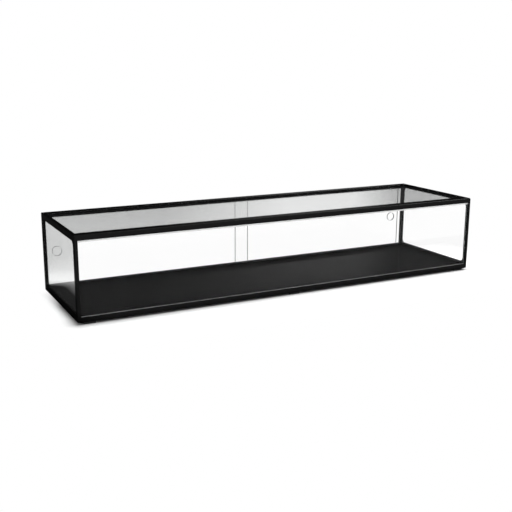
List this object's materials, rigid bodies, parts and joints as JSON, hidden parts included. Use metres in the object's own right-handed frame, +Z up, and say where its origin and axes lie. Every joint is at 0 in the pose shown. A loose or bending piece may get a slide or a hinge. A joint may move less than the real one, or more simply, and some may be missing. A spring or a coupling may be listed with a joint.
{
  "type": "countertop ambient display case",
  "caption": "Low countertop display case: black end frames and rails, glazed all round, with frameless glass doors that slide past each other at the rear.",
  "frame": {"origin": "middle of the footprint, on the counter under the rubber feet", "axes": "+X along the length to the right as a customer sees the front, +Y from the front glass to the rear doors, +Z up"},
  "size_m": [1.2, 0.33, 0.22],
  "materials": {
    "frame_black": "smooth gloss black powder coat",
    "clear_glass": "clear toughened glass with polished edges",
    "clear_seal": "milky translucent extruded seal",
    "black_rubber": "matt black glazing rubber",
    "base_gloss": "gloss black laminate panel",
    "brace_steel": "galvanised steel sheet",
    "slide_nylon": "smooth black nylon",
    "foot_rubber": "matt moulded black rubber",
    "screw_steel": "zinc-plated steel"
  },
  "bodies": {
    "case": {"left_end_frame": "frame_black", "right_end_frame": "frame_black", "left_end_glass": "clear_glass", "right_end_glass": "clear_glass", "left_end_gasket": "black_rubber", "right_end_gasket": "black_rubber", "front_top_rail": "frame_black", "front_bottom_rail": "frame_black", "rear_top_rail": "frame_black", "rear_bottom_rail": "frame_black", "front_glass": "clear_glass", "front_glass_top_seal": "clear_seal", "front_glass_bottom_seal": "clear_seal", "top_glass": "clear_glass", "top_glass_bed": "black_rubber", "left_door_buffer": "black_rubber", "right_door_buffer": "black_rubber", "inner_lower_track_liner": "slide_nylon", "outer_lower_track_liner": "slide_nylon", "inner_upper_track_liner": "slide_nylon", "outer_upper_track_liner": "slide_nylon", "base_panel": "base_gloss", "base_brace_left": "brace_steel", "base_brace_middle": "brace_steel", "base_brace_right": "brace_steel", "brace_rivets": "screw_steel", "top_rail_screws": "screw_steel", "foot_screws": "screw_steel", "front_feet": "foot_rubber", "rear_feet": "foot_rubber"},
    "left_door": {"left_door_glass": "clear_glass", "left_door_glide_left": "slide_nylon", "left_door_glide_right": "slide_nylon"},
    "right_door": {"right_door_glass": "clear_glass", "right_door_glide_left": "slide_nylon", "right_door_glide_right": "slide_nylon"}
  },
  "joints": [
    {"name": "left_door_slide", "type": "slide", "parent": "case", "child": "left_door", "axis": [1, 0, 0], "range_m": [0, 0.5764]},
    {"name": "right_door_slide", "type": "slide", "parent": "case", "child": "right_door", "axis": [1, 0, 0], "range_m": [-0.5644, 0.012]}
  ]
}
